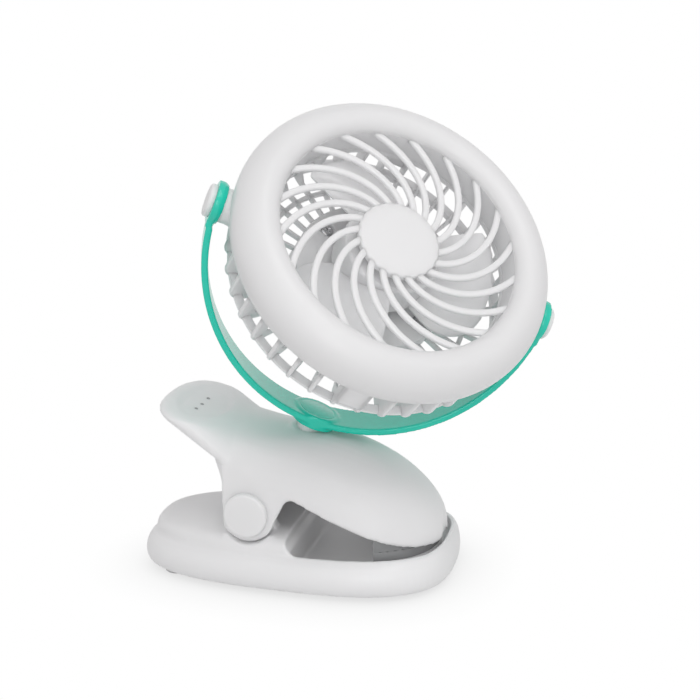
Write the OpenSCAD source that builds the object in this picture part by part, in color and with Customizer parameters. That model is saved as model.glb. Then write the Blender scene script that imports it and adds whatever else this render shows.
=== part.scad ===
// Rechargeable camping fan on a spring clip.
// The head tilts in a yoke, the yoke swivels on the upper jaw, and the jaws open on a pin.
// The origin is the centre of the base's underside, with the nose of the clip towards -Y.

/* [Base] */
// Length of the base, nose to tail
base_len = 146; // [135:1:160]
// Half width of the base at its middle
base_half_w = 43.2; // [40:0.2:48]
// How much wider the base gets towards its nose, as a share of its width
base_flare = 0.21; // [0:0.01:0.3]
// Height of the rim beside the mouth
rim_z = 17.4; // [15:0.2:20]
// Height of the deck behind the pivot
deck_z = 25; // [22:0.5:28]
// Wall of the moulded base and jaw
wall = 2.4; // [1.8:0.1:3]
// Height of the rubber feet
foot_h = 1.2; // [0.8:0.1:2]
// Radius of a rubber foot
foot_r = 6; // [4:0.5:8]
// Thickness of the bottom plate
plate_t = 2; // [1.5:0.1:2.5]

/* [Clip] */
// Pivot height above the table
pivot_z = 34; // [32:0.5:38]
// Pivot distance behind the middle of the base
pivot_y = 15; // [10:0.5:20]
// Radius of the clip pin
pin_r = 2.5; // [2:0.1:3.5]
// Radius of the ears that wrap the pivot
ear_r = 13; // [11:0.5:14]
// Radius of the round caps over the pin
cap_r = 10; // [8:0.5:11]
// How far the caps stand off the ears
cap_t = 3.4; // [2:0.2:5]
// Gap between the upper jaw and the side of the mouth
jaw_gap = 3.3; // [2.5:0.1:6]
// How far the jaw's ears stand in from the base's side
ear_gap = 8.6; // [7.5:0.1:10]
// Height of the jaw's back above the table
jaw_top_z = 66; // [62:0.5:70]
// How far the jaw's nose stays behind the base's nose
nose_gap = 4.6; // [4.6:0.2:8]
// Height of the seam between the two rubber clip pads
pad_seam_z = 18.2; // [18:0.1:20]
// Length of the rubber clip pads
pad_len = 24; // [18:1:28]
// Half width of the thumb paddle
thumb_half_w = 31.5; // [28:0.5:34]
// Half length of the thumb paddle along its slope
thumb_half_l = 17.6; // [15:0.2:19]
// Thickness of the thumb paddle
thumb_t = 4.5; // [4:0.5:8]

/* [Clip spring] */
// Wire diameter
spring_wire = 1.8; // [1.2:0.1:2.2]
// Radius of the coil to the middle of its wire
spring_r = 6; // [5:0.25:7]
// Number of turns
spring_turns = 6; // [4:1:7]

/* [Swivel and yoke] */
// Distance of the neck's foot ahead of the middle
neck_y = 6.348; // [2:0.1:10]
// How deep the neck's foot is let into the jaw's back
neck_sink = 1.278; // [0.8:0.1:2]
// Lean of the swivel axis towards the nose
lean = 25.4; // [22:0.1:28]
// Turn of the yoke away from the nose
turn = 69.5; // [0:0.5:90]
// Tilt of the head back from its rest in the yoke
tilt = 52.8; // [0:0.2:90]
// Gap between the front ring and the yoke band
yoke_gap = 2.9; // [2.5:0.1:5]
// Thickness of the yoke band
yoke_t = 3; // [2.4:0.1:4]
// Width of the yoke band at its foot
yoke_w = 20.8; // [18:0.2:24]
// Radius of the round eyes at the yoke's ends
eye_r = 9.6; // [9:0.2:12]
// Radius of the swivel boss under the yoke
boss_r = 10.5; // [9.5:0.5:12]
// Radius of the swivel post
post_r = 4; // [3.5:0.1:4.5]
// Radius of the neck between the jaw and the yoke
neck_r = 6; // [5:0.5:7]
// Radius of the tilt pins
tilt_pin_r = 3; // [2.5:0.1:3.5]
// Radius of the caps on the yoke's ends
yoke_cap_r = 7.25; // [6:0.25:8]
// Height of the caps on the yoke's ends
yoke_cap_t = 2.7; // [2:0.1:3.5]

/* [Head] */
// Outer radius of the front ring
ring_r = 72.5; // [70:0.5:73]
// Width of the front ring, from its outer edge to the opening
ring_w = 18.5; // [17.5:0.5:20.5]
// Distance of the widest part of the ring ahead of the tilt axis
ring_z = 12.5; // [11:0.5:13]
// Radius of the ring's outer roll, as a share of the ring's width
roll_share = 0.789; // [0.7:0.001:0.84]
// Wall of the moulded head
skin = 2.2; // [1.8:0.1:2.6]
// How far the housing's side wall stands in from the front ring
drum_step = 4.9; // [3.5:0.1:6.5]
// Distance of the rear face behind the tilt axis
rear_z = 20.2; // [18:0.2:24]
// Angle between two fins of the housing
fin_pitch = 9.6; // [8.8:0.1:9.8]
// Windows in each quarter of the housing
windows = 8; // [6:1:8]
// Thickness of a fin
fin_t = 1.5; // [1.2:0.1:2]
// Depth of a fin behind the side wall
fin_depth = 8; // [6:0.2:9]
// Radius of the tilt bosses on the housing
tilt_boss_r = 7.6; // [6.5:0.1:7.8]

/* [Front grille] */
// Number of swirled ribs
ribs = 20; // [16:1:24]
// Width of a rib
rib_w = 2.8; // [2:0.1:3.4]
// Angle that a rib sweeps between hub and hoop
rib_sweep = 54; // [40:1:60]
// Radius of the hub disc
hub_r = 18.5; // [16:0.5:20]
// Distance of the hub disc's face ahead of the tilt axis
hub_z = 20.6; // [20:0.1:22]

/* [Fan] */
// Number of blades
blades = 3; // [3:1:5]
// Gap between the blade tips and the radius of the front opening
tip_gap = 3.5; // [2.5:0.5:8]
// How far the impeller's hub stands out from the motor
hub_gap = 9.8; // [8:0.1:11]
// Angle that a blade covers at its tip
blade_span = 60; // [40:1:64]
// Height of a blade along the axis
blade_h = 11; // [8:0.5:12]
// Thickness of a blade
blade_t = 1.6; // [1.2:0.1:2]
// Radius of the motor can
motor_r = 12.2; // [11:0.1:12.4]
// Length of the motor can
motor_len = 12.3; // [11:0.1:13]
// Radius of the motor shaft
shaft_r = 1; // [0.8:0.1:1.5]

/* [Power pod] */
// Clearance round the corners of the battery cell
cell_clear = 0.22; // [0.2:0.02:1]
// Space between the battery cell and the pod's rear wall
cell_back = 0.9; // [0.5:0.1:3]
// Radius of the battery cell
cell_r = 9.2; // [8.8:0.1:9.3]
// Length of the battery cell
cell_len = 65; // [60:1:65]
// Distance of each pod screw from the axis
screw_ring = 28.5; // [27:0.5:29]
// Angle of the first pod screw
screw_angle = 148.8; // [140:0.2:155]
// Radius of the power button
button_r = 5; // [4:0.1:6]
// Travel of the power button
button_travel = 0.6; // [0.4:0.1:0.8]

/* [Hidden] */
$fn = 64;
white = "#ECEDEF";
teal = "#22B795";
rubber = "#6E7276";
steel = "#B9BCC0";
run_gap = 0.05;    // radial clearance of a shaft in its bore
face_gap = 0.3;    // clearance between faces that slide past each other
eps = 0.01;

// ---- Shared geometry ----

function lerp(a, b, u) = a + (b - a) * u;
function spow(v, n) = sign(v) * pow(abs(v), n);
function arc(cx, cy, r, a0, a1, n) = [for (i = [0 : n]) let (a = lerp(a0, a1, i / n))
    [cx + r * cos(a), cy + r * sin(a)]];

// Solid through a stack of rings that all have the same number of points
module loft(rings) {
    n = len(rings[0]);
    m = len(rings);
    polyhedron(
        points = [for (r = rings) each r],
        faces = concat(
            [[for (i = [0 : n - 1]) i]],
            [for (j = [0 : m - 2], i = [0 : n - 1])
                [j * n + i, (j + 1) * n + i, (j + 1) * n + (i + 1) % n, j * n + (i + 1) % n]],
            [[for (i = [n - 1 : -1 : 0]) (m - 1) * n + i]]
        ),
        convexity = 6
    );
}

// Solid between two grids of points, each a list of rows, with its rim closed all round
module sheet(top, under) {
    m = len(top);
    n = len(top[0]);
    size = m * n;
    polyhedron(
        points = concat([for (row = top) each row], [for (row = under) each row]),
        faces = concat(
            [for (j = [0 : m - 2], i = [0 : n - 2])
                [j * n + i, j * n + i + 1, (j + 1) * n + i + 1, (j + 1) * n + i]],
            [for (j = [0 : m - 2], i = [0 : n - 2])
                [size + j * n + i, size + (j + 1) * n + i, size + (j + 1) * n + i + 1, size + j * n + i + 1]],
            [for (j = [0 : m - 2]) [j * n, (j + 1) * n, size + (j + 1) * n, size + j * n]],
            [for (j = [0 : m - 2])
                [(j + 2) * n - 1, (j + 1) * n - 1, size + (j + 1) * n - 1, size + (j + 2) * n - 1]],
            [for (i = [0 : n - 2]) [i + 1, i, size + i, size + i + 1]],
            [for (i = [0 : n - 2])
                [size - n + i, size - n + i + 1, 2 * size - n + i + 1, 2 * size - n + i]]
        ),
        convexity = 6
    );
}

// Solid drawn along X from an outline in Y and Z
module along_x(half_w) {
    rotate([90, 0, 90])
        translate([0, 0, -half_w])
            linear_extrude(2 * half_w, convexity = 6)
                children();
}

// Mirrored copies on the left and the right
module both_sides() {
    children();
    mirror([1, 0, 0])
        children();
}

// ---- Base outline: a superellipse that widens towards the nose ----

base_n = 2.8;
base_seg = 80;
nose_keep = 0.4;   // share of each inset that the nose takes, so its lip stays upright

// Half width of the base at a place along Y
function base_side(y) = base_half_w * (1 - base_flare * y / (base_len / 2))
    * pow(1 - pow(abs(y) / (base_len / 2), base_n), 1 / base_n);

function base_point(a, inset, keep) = let (
    end = base_len / 2 - inset * (sin(a) < 0 ? keep : 1),
    y = end * spow(sin(a), 2 / base_n),
    w = base_half_w * (1 - base_flare * y / (base_len / 2)) - inset
) [w * spow(cos(a), 2 / base_n), y];
function base_outline(inset, keep = nose_keep) =
    [for (i = [0 : base_seg - 1]) base_point(360 * (i + 0.5) / base_seg, inset, keep)];
function base_ring(z, inset) = [for (p = base_outline(inset)) [p[0], p[1], z]];

under_z = foot_h;                 // underside of the plastic base
plate_top = under_z + plate_t;
floor_z = 8;                      // top of the tray floor in the mouth
land_z = 14;                      // top of the land under the lower clip pad
mouth_back = pivot_y - ear_r - 5; // where the deck's front face stands
mouth_inset = 7.2;                // how far the mouth's wall stands in from the base's outline

module base_body() {
    // Height and inset of each ring: the skirt, its shoulder, and the deck that stands on it
    skirt = [[0, 5], [0.8, 2.8], [2.2, 1.2], [4.6, 0.2], [7, 0], [9.6, 0.4]];
    shoulder = [[-4.4, 1.3], [-2.6, 2.5], [-1.2, 4.1], [-0.6, 5.2]];
    deck = [[-6.4, 5.5], [-4.4, 5.9], [-2.6, 7], [-1.2, 9.2], [-0.4, 12.5], [0, 19]];
    loft(concat(
        [for (e = skirt) base_ring(under_z + e[0], e[1])],
        [for (e = shoulder) base_ring(rim_z + e[0], e[1])],
        [for (e = deck) base_ring(deck_z + e[0], e[1])]
    ));
}

// Everything above the rim and ahead of the deck is open, and the rim rises at the nose
module mouth_cut() {
    r = 7;
    nose_y = -base_len / 2;
    rise = [for (i = [0 : 8]) let (u = i / 8) [nose_y + 13 * u, rim_z + 4 * pow(1 - u, 2)]];
    along_x(base_half_w + 20)
        polygon(concat(
            [[nose_y - 5, rim_z + 40], [nose_y - 5, rim_z + 4]],
            rise,
            arc(mouth_back - r, rim_z + r, r, -90, 0, 8),
            [[mouth_back, rim_z + 40]]
        ));
}

// Slab inside the base, from one height to another, kept between two places along Y
module base_slab(z0, z1, inset, y0, y1, keep = nose_keep) {
    translate([0, 0, z0])
        linear_extrude(z1 - z0)
            intersection() {
                polygon(base_outline(inset, keep));
                translate([-100, y0])
                    square([200, y1 - y0]);
            }
}

jaw_nose = base_len / 2 - nose_gap;
pad_front = -(jaw_nose - 3);
pad_back = pad_front + pad_len;
hollow_inset = wall + 5;
jaw_pivot_w = base_side(pivot_y) - ear_gap;
lug_x1 = jaw_pivot_w - 6.5;
lug_x0 = lug_x1 - 6.5;
lug_r = 8;
screw_x = 25;
base_screw_y = [37 - base_len / 2, base_len / 2 - 29];
boss_wall = 2;
base_screw_r = 1.4;
base_screw_len = 5.2;
screw_head_t = 0.8;

module base_shell() {
    color(white)
        difference() {
            union() {
                difference() {
                    base_body();
                    mouth_cut();
                    base_slab(floor_z, rim_z + 30, mouth_inset, -base_len, mouth_back - wall, 0.53);
                    base_slab(plate_top, floor_z - wall, hollow_inset, -base_len, mouth_back - wall);
                    base_slab(plate_top, deck_z - wall, hollow_inset + 2, mouth_back, base_len);
                    base_slab(under_z - 1, plate_top, wall + 3, -base_len, base_len);
                }
                pad_land();
                base_bosses();
                both_sides()
                    lug();
            }
            // Scooped pockets that the jaw's ears turn in
            both_sides()
                translate([jaw_pivot_w - wall - 0.9, pivot_y, pivot_z])
                    rotate([0, 90, 0])
                        cylinder(r = ear_r + 0.6, h = 30);
            translate([-lug_x1 - 1, pivot_y, pivot_z])
                rotate([0, 90, 0])
                    cylinder(r = pin_r, h = 2 * lug_x1 + 2);
            for (x = [-screw_x, screw_x], y = base_screw_y)
                translate([x, y, under_z - 1])
                    cylinder(r = base_screw_r, h = floor_z - under_z);
        }
}

// Solid land that carries the lower clip pad
module pad_land() {
    translate([0, 0, floor_z - 1])
        linear_extrude(land_z - floor_z + 1)
            pad_outline();
}

// Bosses that the bottom plate's screws bite into
module base_bosses() {
    for (x = [-screw_x, screw_x], y = base_screw_y)
        translate([x, y, plate_top])
            cylinder(r = base_screw_r + boss_wall, h = (y < 0 ? floor_z : deck_z - 5) - plate_top - 1);
}

// Upright lug that holds the clip pin, on a solid block under the deck
module lug() {
    translate([lug_x0, pivot_y - 12, deck_z - 8])
        cube([13, 24, 7.5]);
    translate([(lug_x0 + lug_x1) / 2, 0, 0])
        along_x((lug_x1 - lug_x0) / 2)
            polygon(concat(
                [[pivot_y + lug_r + 0.5, deck_z - 1]],
                arc(pivot_y, pivot_z, lug_r, 20, 160, 14),
                [[pivot_y - lug_r - 4, deck_z - 1]]
            ));
}

module base_plate() {
    color("#DADCDE")
        difference() {
            base_slab(under_z, plate_top, wall + 3.1, -base_len, base_len);
            for (x = [-screw_x, screw_x], y = base_screw_y)
                translate([x, y, 0]) {
                    cylinder(r = base_screw_r + 0.2, h = 10);
                    cylinder(r = 3, h = under_z + 1);
                }
        }
}

foot_x = 24;
foot_y = [19 - base_len / 2, base_len / 2 - 19];

module base_feet() {
    places = concat([[0, 0]], [for (y = foot_y, s = [-1, 1]) [s * (y < 0 ? foot_x + 2 : foot_x - 6), y]]);
    color(rubber)
        for (p = places)
            translate([p[0], p[1], 0])
                rotate_extrude()
                    polygon([[0, 0], [foot_r - 0.4, 0], [foot_r, 0.4], [foot_r, foot_h], [0, foot_h]]);
}

module base_screws() {
    color(steel)
        for (x = [-screw_x, screw_x], y = base_screw_y)
            translate([x, y, under_z + 0.2]) {
                cylinder(r = 2.7, h = screw_head_t);
                cylinder(r = base_screw_r, h = base_screw_len);
            }
}

// ---- Upper jaw ----

jaw_tail = pivot_y + cap_r + 1.5; // rear wall of the jaw
jaw_foot = 14;                    // level from which the jaw's sections rise
wide_y = -25;                     // place where the jaw is widest
jaw_half_w = base_side(wide_y) - mouth_inset - jaw_gap;
jaw_front = 17;                   // height of the jaw's lower edge at its nose
corner_y = mouth_back - 3;        // place and height of the mouth's upper corner
corner_z = 40.4;

// Height of the back, and half width, at a place along Y
function back_z(y) = y < 0
    ? 20 + (jaw_top_z - 20) * pow(1 - pow(min(1, -y / (jaw_nose + 2)), 1.8), 1 / 1.6)
    : jaw_top_z + 0.0723 * pow(y, 1.3);
function jaw_w(y) = y < wide_y
    ? jaw_half_w * pow(1 - pow(min(1, (wide_y - y) / (jaw_nose + wide_y)), 2.4), 1 / 2.2)
    : lerp(jaw_half_w, jaw_pivot_w, (y - wide_y) / (pivot_y - wide_y));

// Height of the lower edge beside the mouth
function lip_z(y) = jaw_front
    + (corner_z - jaw_front) * pow(max(0, (y + jaw_nose) / (corner_y + jaw_nose)), 1.35);

// The cross section is an arch that gets squarer towards the tail. An inset arch also stands back
// from the nose, so the wall is as thick there as at the sides.
function set_back(y, inset) = inset * pow(max(0, -y) / jaw_nose, 4);
jaw_half_seg = 14;
function squareness(y) = 2.3 + 1.7 * pow(min(1, max(0, (y + 30) / 55)), 1.5);
function arch(y, inset) = let (
    n = squareness(y),
    w = max(jaw_w(y) - inset, 0.5),
    h = max(back_z(y) - inset - jaw_foot, 0.5),
    back = set_back(y, inset)
) [for (i = [0 : 2 * jaw_half_seg]) let (a = 180 * i / (2 * jaw_half_seg))
    [w * spow(cos(a), 2 / n), y + back, jaw_foot + h * pow(abs(sin(a)), 2 / n)]];
function reversed(v) = [for (i = [len(v) - 1 : -1 : 0]) v[i]];

jaw_stations = 30;
function jaw_y(i) = let (u = i / jaw_stations) lerp(-jaw_nose + 0.4, jaw_tail, 1 - cos(90 * pow(u, 0.9)));

module jaw_skin() {
    sheet(
        [for (i = [0 : jaw_stations]) arch(jaw_y(i), 0)],
        [for (i = [0 : jaw_stations]) arch(jaw_y(i), wall)]
    );
}

module jaw_core() {
    loft([for (i = [0 : jaw_stations]) reversed(arch(jaw_y(i), 0.6))]);
}

// Side outline: the mouth edge, the ear round the pivot, and all that lies above them
module jaw_side() {
    steps = 14;
    edge = [for (i = [0 : steps]) let (y = lerp(-jaw_nose, corner_y - 1, i / steps)) [y, lip_z(y)]];
    along_x(60)
        polygon(concat(
            [[-90, 120], [-90, jaw_front]],
            edge,
            arc(corner_y + 0.4, corner_z - 4.2, 4.4, 116, 20, 7),
            arc(pivot_y, pivot_z, ear_r, 200, 332, 20),
            [[jaw_tail, pivot_z + 6], [jaw_tail, 120]]
        ));
}

// Floor inside the nose, which carries the upper clip pad and is thick at the tip
module nose_floor() {
    steps = 8;
    start = pad_front - 0.5;      // the lower pad's top passes behind this place
    low = [for (i = [0 : steps]) let (y = lerp(start, pad_back, i / steps))
        [y, max(lip_z(y), pad_seam_z + pad_edge)]];
    intersection() {
        jaw_core();
        along_x(60)
            polygon(concat(
                [[-jaw_nose, jaw_front], [start, lip_z(start)]],
                low,
                [[pad_back, lip_z(pad_back) + wall], [-jaw_nose, jaw_front + 8]]
            ));
    }
}

// Section of the jaw at a place along Y, above a given height, drawn out towards the tail
module jaw_slab(y, low, depth, inset = 0.02) {
    translate([0, y + depth, 0])
        rotate([90, 0, 0])
            linear_extrude(depth)
                intersection() {
                    polygon([for (p = arch(y, inset)) [p[0], p[2]]]);
                    translate([-60, low])
                        square([120, 60]);
                }
}

root_z = 56;                      // underside of the paddle's root
thumb_slope = 16.7;
thumb_y = jaw_tail + 16.1;
thumb_z = back_z(jaw_tail) + (thumb_y - jaw_tail) * tan(thumb_slope) + 0.2;
dish_r = 5.4 * thumb_half_l;      // radius and depth of the dish for the thumb
dish_depth = 1.2;
function oval(rx, ry, n, seg) = [for (i = [0 : seg - 1]) let (a = 360 * (i + 0.5) / seg)
    [rx * spow(cos(a), 2 / n), ry * spow(sin(a), 2 / n)]];

module thumb_slice(z, inset) {
    translate([0, thumb_y, thumb_z])
        rotate([thumb_slope, 0, 0])
            translate([0, 0, z])
                linear_extrude(eps)
                    polygon(oval(thumb_half_w - inset, thumb_half_l - inset, 2.4, 44));
}

// Thumb paddle, faired into the jaw's rear end
module thumb_paddle() {
    hull() {
        thumb_slice(-eps, 2.6);
        thumb_slice(-0.9, 0.8);
        thumb_slice(-2.4, 0);
        thumb_slice(-thumb_t, 2.4);
        jaw_slab(jaw_tail - 4, root_z, 4);
    }
    // Gusset that curves the rear wall into the paddle
    hull() {
        jaw_slab(jaw_tail - wall, root_z - 8, wall, 1);
        jaw_slab(jaw_tail - wall, root_z + 1, 7.5, 4);
    }
    // Ledge under the back that the spring's upper leg pushes on
    translate([-12, jaw_tail - 9, root_z])
        cube([24, 7, back_z(jaw_tail - 9) - root_z - 1]);
}

yoke_in_r = ring_r + yoke_gap;
yoke_out_r = yoke_in_r + yoke_t;
boss_low = yoke_out_r + 2.15;           // underside of the swivel boss, below the tilt axis
boss_high = yoke_in_r - 1.2;            // top of the swivel boss
seat_low = boss_low + 4.2;              // flat seat on the jaw that the neck stands on
neck_r2 = neck_r - 1.5;                 // radius of the neck's spigot
neck_depth = 9;                         // depth of the spigot in the jaw
// The tilt axis, above the neck's foot along the leaning swivel axis
head_ahead = neck_y + seat_low * sin(lean);
head_z = back_z(-neck_y) - neck_sink + seat_low * cos(lean);

// Place the children on the swivel axis, with the origin where it meets the tilt axis
module on_swivel() {
    translate([0, -head_ahead, head_z])
        rotate([lean, 0, 0])
            children();
}

module upper_jaw() {
    color(white)
        difference() {
            union() {
                intersection() {
                    jaw_skin();
                    jaw_side();
                }
                jaw_slab(jaw_tail - wall, pivot_z + 1, wall);
                nose_floor();
                thumb_paddle();
                both_sides()
                    translate([lug_x1 + face_gap, pivot_y, pivot_z])
                        rotate([0, 90, 0])
                            cylinder(r = cap_r - 2, h = jaw_pivot_w - lug_x1 - face_gap);
                on_swivel()
                    translate([0, 0, -seat_low - neck_depth - 1.5])
                        cylinder(r = neck_r + 2.5, h = neck_depth + 1.5);
            }
            translate([-60, pivot_y, pivot_z])
                rotate([0, 90, 0])
                    cylinder(r = pin_r + run_gap, h = 120);
            // Flats that the caps sit on
            both_sides()
                translate([jaw_pivot_w, pivot_y, pivot_z])
                    rotate([0, 90, 0])
                        cylinder(r = cap_r + 0.3, h = 10);
            // Hole for the neck's spigot, and the flat that the neck stands on
            on_swivel() {
                translate([0, 0, -seat_low - neck_depth])
                    cylinder(r = neck_r2, h = neck_depth + 5);
                translate([0, 0, -seat_low])
                    cylinder(r = neck_r + face_gap, h = 6);
            }
            // Shallow dish for the thumb
            translate([0, thumb_y, thumb_z])
                rotate([thumb_slope, 0, 0])
                    translate([0, 1, dish_r - dish_depth])
                        sphere(r = dish_r);
        }
}

// ---- Rubber clip pads ----

pad_seg = 10;
pad_inset = wall + 0.5;
pad_edge = 0.6;                   // thickness of the upper pad at its front edge
module pad_outline() {
    right = [for (i = [0 : pad_seg]) let (y = lerp(pad_front, pad_back, pow(i / pad_seg, 1.6)))
        [max(jaw_w(y - set_back(y, pad_inset)) - pad_inset, 2), y]];
    polygon(concat(right, [for (p = reversed(right)) [-p[0], p[1]]]));
}

rib_pitch = 3;
module pad_grooves(z) {
    for (y = [pad_front + 3 : rib_pitch : pad_back - 1])
        translate([-40, y, z])
            rotate([0, 90, 0])
                cylinder(r = 0.8, h = 80, $fn = 4);
}

module base_clip_pad() {
    color(rubber)
        difference() {
            translate([0, 0, land_z])
                linear_extrude(pad_seam_z - land_z)
                    pad_outline();
            pad_grooves(pad_seam_z);
        }
}

module jaw_clip_pad() {
    steps = 8;
    top = [for (i = [0 : steps]) let (y = lerp(pad_front, pad_back, i / steps)) [y, lip_z(y)]];
    start = [for (p = top) if (p[1] > pad_seam_z + pad_edge) p];
    color(rubber)
        difference() {
            intersection() {
                along_x(40)
                    polygon(concat([[start[0][0], pad_seam_z], [pad_back, pad_seam_z]], reversed(start)));
                translate([0, 0, land_z])
                    linear_extrude(30)
                        pad_outline();
            }
            pad_grooves(pad_seam_z);
        }
}

// ---- Clip pin, caps and spring ----

pin_half = jaw_pivot_w - 0.4;
module clip_pin() {
    color(steel)
        translate([-pin_half, pivot_y, pivot_z])
            rotate([0, 90, 0])
                cylinder(r = pin_r, h = 2 * pin_half);
}

module pivot_cap() {
    translate([jaw_pivot_w, pivot_y, pivot_z])
        rotate([0, 90, 0])
            rotate_extrude()
                polygon(concat(
                    [[0, 0], [cap_r, 0], [cap_r, cap_t - 1.4]],
                    arc(cap_r - 1.2, cap_t - 1.4, 1.2, 10, 80, 5),
                    [[cap_r * 0.5, cap_t], [0, cap_t + 0.2]]
                ));
}

module pivot_cap_right() {
    color(white)
        pivot_cap();
}

module pivot_cap_left() {
    color(white)
        mirror([1, 0, 0])
            pivot_cap();
}

// Torsion spring: a leg on the deck, the coil round the pin, and a leg under the jaw's ledge
spring_seg = 20;
spring_pitch = spring_wire + 0.5;
coil_half = spring_turns * spring_pitch / 2;
leg_seat = spring_wire / 2 + 0.25;      // height of a leg's middle above the face it rests on
// Ends of the two legs, seen from the pin, and the angles at which the legs leave the coil
low_end = [14, deck_z + leg_seat - pivot_z];
high_end = [jaw_tail - 4.5 - pivot_y, root_z - leg_seat - pivot_z];
low_a = atan2(low_end[1], low_end[0]) - acos(spring_r / norm(low_end));
high_a = atan2(high_end[1], high_end[0]) + acos(spring_r / norm(high_end));
function coil_point(u) = let (a = low_a - u * (360 * spring_turns - high_a + low_a))
    [lerp(-coil_half, coil_half, u), spring_r * cos(a), spring_r * sin(a)];
spring_steps = spring_turns * spring_seg;
spring_path = concat(
    [[-coil_half, low_end[0], low_end[1]]],
    [for (i = [0 : spring_steps]) coil_point(i / spring_steps)],
    [[coil_half, high_end[0], high_end[1]]]
);

function unit(v) = v / norm(v);
module wire(path, r, sides) {
    n = len(path);
    loft([for (i = [0 : n - 1]) let (
        d = unit(path[min(i + 1, n - 1)] - path[max(i - 1, 0)]),
        side = unit(cross(d, [1, 0.02, 0.01])),
        up = cross(d, side)
    ) [for (k = [0 : sides - 1]) path[i] + r * (cos(360 * k / sides) * side + sin(360 * k / sides) * up)]]);
}

module clip_spring() {
    color(steel)
        translate([0, pivot_y, pivot_z])
            wire(spring_path, spring_wire / 2, 6);
}

// ---- Swivel ----

recess_r = 7;
recess_low = yoke_out_r - 1.2;          // floor of the recess in the boss
module swivel_neck() {
    color(white)
        on_swivel()
            difference() {
                union() {
                    translate([0, 0, -seat_low - neck_depth])
                        cylinder(r = neck_r2, h = neck_depth + 1);
                    translate([0, 0, -seat_low])
                        cylinder(r = neck_r, h = seat_low - boss_low - face_gap);
                    translate([0, 0, -seat_low])
                        cylinder(r = post_r, h = seat_low - recess_low + 0.1);
                }
                translate([0, 0, -seat_low])
                    cylinder(r = 1.5, h = 30);
            }
}

washer_t = 0.6;
module swivel_washer() {
    color(steel)
        on_swivel()
            translate([0, 0, -recess_low + 0.1])
                difference() {
                    cylinder(r = recess_r - 0.8, h = washer_t);
                    translate([0, 0, -1])
                        cylinder(r = 1.5, h = 3);
                }
}

module swivel_screw() {
    color(steel)
        on_swivel() {
            translate([0, 0, -recess_low + 0.1 + washer_t])
                cylinder(r = 3, h = 1.1);
            translate([0, 0, -seat_low + 0.5])
                cylinder(r = 1.5, h = seat_low - recess_low + washer_t);
        }
}

// ---- Yoke ----

module on_yoke() {
    on_swivel()
        rotate([0, 0, -turn])
            children();
}

eye_in = yoke_in_r + 0.1;               // inner face of the flat eyes
module yoke_side_outline() {
    // Half width of the band narrows from its foot towards its eyes
    foot = yoke_w / 2;
    waist = foot * 0.68;
    polygon(concat(
        [for (i = [0 : 12]) let (u = i / 12) [lerp(foot, waist, pow(sin(90 * u), 2)), lerp(-yoke_out_r - 5, -eye_r * 0.7, u)]],
        [for (i = [12 : -1 : 0]) let (u = i / 12) [-lerp(foot, waist, pow(sin(90 * u), 2)), lerp(-yoke_out_r - 5, -eye_r * 0.7, u)]]
    ));
}

module yoke() {
    color(teal)
        on_yoke()
            difference() {
                union() {
                    intersection() {
                        rotate([90, 0, 0])
                            translate([0, 0, -yoke_w])
                                linear_extrude(2 * yoke_w)
                                    yoke_band_section();
                        along_x(yoke_out_r + 5)
                            yoke_side_outline();
                    }
                    both_sides()
                        translate([eye_in, 0, 0])
                            rotate([0, 90, 0])
                                cylinder(r = eye_r, h = yoke_t);
                    translate([0, 0, -boss_low])
                        cylinder(r = boss_r, h = boss_low - boss_high);
                }
                translate([0, 0, -boss_low - 1])
                    cylinder(r = post_r + run_gap, h = 20);
                translate([0, 0, -recess_low])
                    cylinder(r = recess_r, h = 20);
                translate([0, 0, -boss_high - plug_t])
                    cylinder(r = plug_r, h = 20);
                translate([-yoke_out_r - 10, 0, 0])
                    rotate([0, 90, 0])
                        cylinder(r = tilt_pin_r + run_gap, h = 2 * yoke_out_r + 20);
            }
}

// Disc that closes the boss over the screw
plug_r = recess_r + 0.9;
plug_t = 0.9;
module swivel_plug() {
    color(teal)
        on_yoke()
            translate([0, 0, -boss_high - plug_t])
                cylinder(r = plug_r, h = plug_t);
}

// Section of the band in X and Z: half a hoop, with straight ends at the eyes
module yoke_band_section() {
    difference() {
        union() {
            circle(r = yoke_out_r, $fn = 128);
            translate([-eye_in - yoke_t, -eye_r])
                square([2 * (eye_in + yoke_t), eye_r]);
        }
        circle(r = yoke_in_r, $fn = 128);
        translate([-eye_in, -eye_r])
            square([2 * eye_in, 3 * eye_r]);
        translate([-yoke_out_r - 10, 0])
            square([2 * yoke_out_r + 20, yoke_out_r + 10]);
    }
}

module yoke_cap() {
    translate([eye_in + yoke_t, 0, 0])
        rotate([0, 90, 0])
            rotate_extrude()
                polygon(concat(
                    [[0, 0.6], [tilt_pin_r + 0.6, 0.6], [tilt_pin_r + 0.6, 0], [yoke_cap_r, 0]],
                    arc(yoke_cap_r - 1, yoke_cap_t - 1, 1, 10, 80, 5),
                    [[0, yoke_cap_t]]
                ));
}

module yoke_cap_right() {
    color(white)
        on_yoke()
            yoke_cap();
}

module yoke_cap_left() {
    color(white)
        on_yoke()
            mirror([1, 0, 0])
                yoke_cap();
}

// ---- Head: in its own frame the fan axis is Z, the front is +Z and the tilt axis is X ----

module on_head() {
    on_yoke()
        rotate([-tilt, 0, 0])
            rotate([90, 0, 0])
                children();
}

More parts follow.
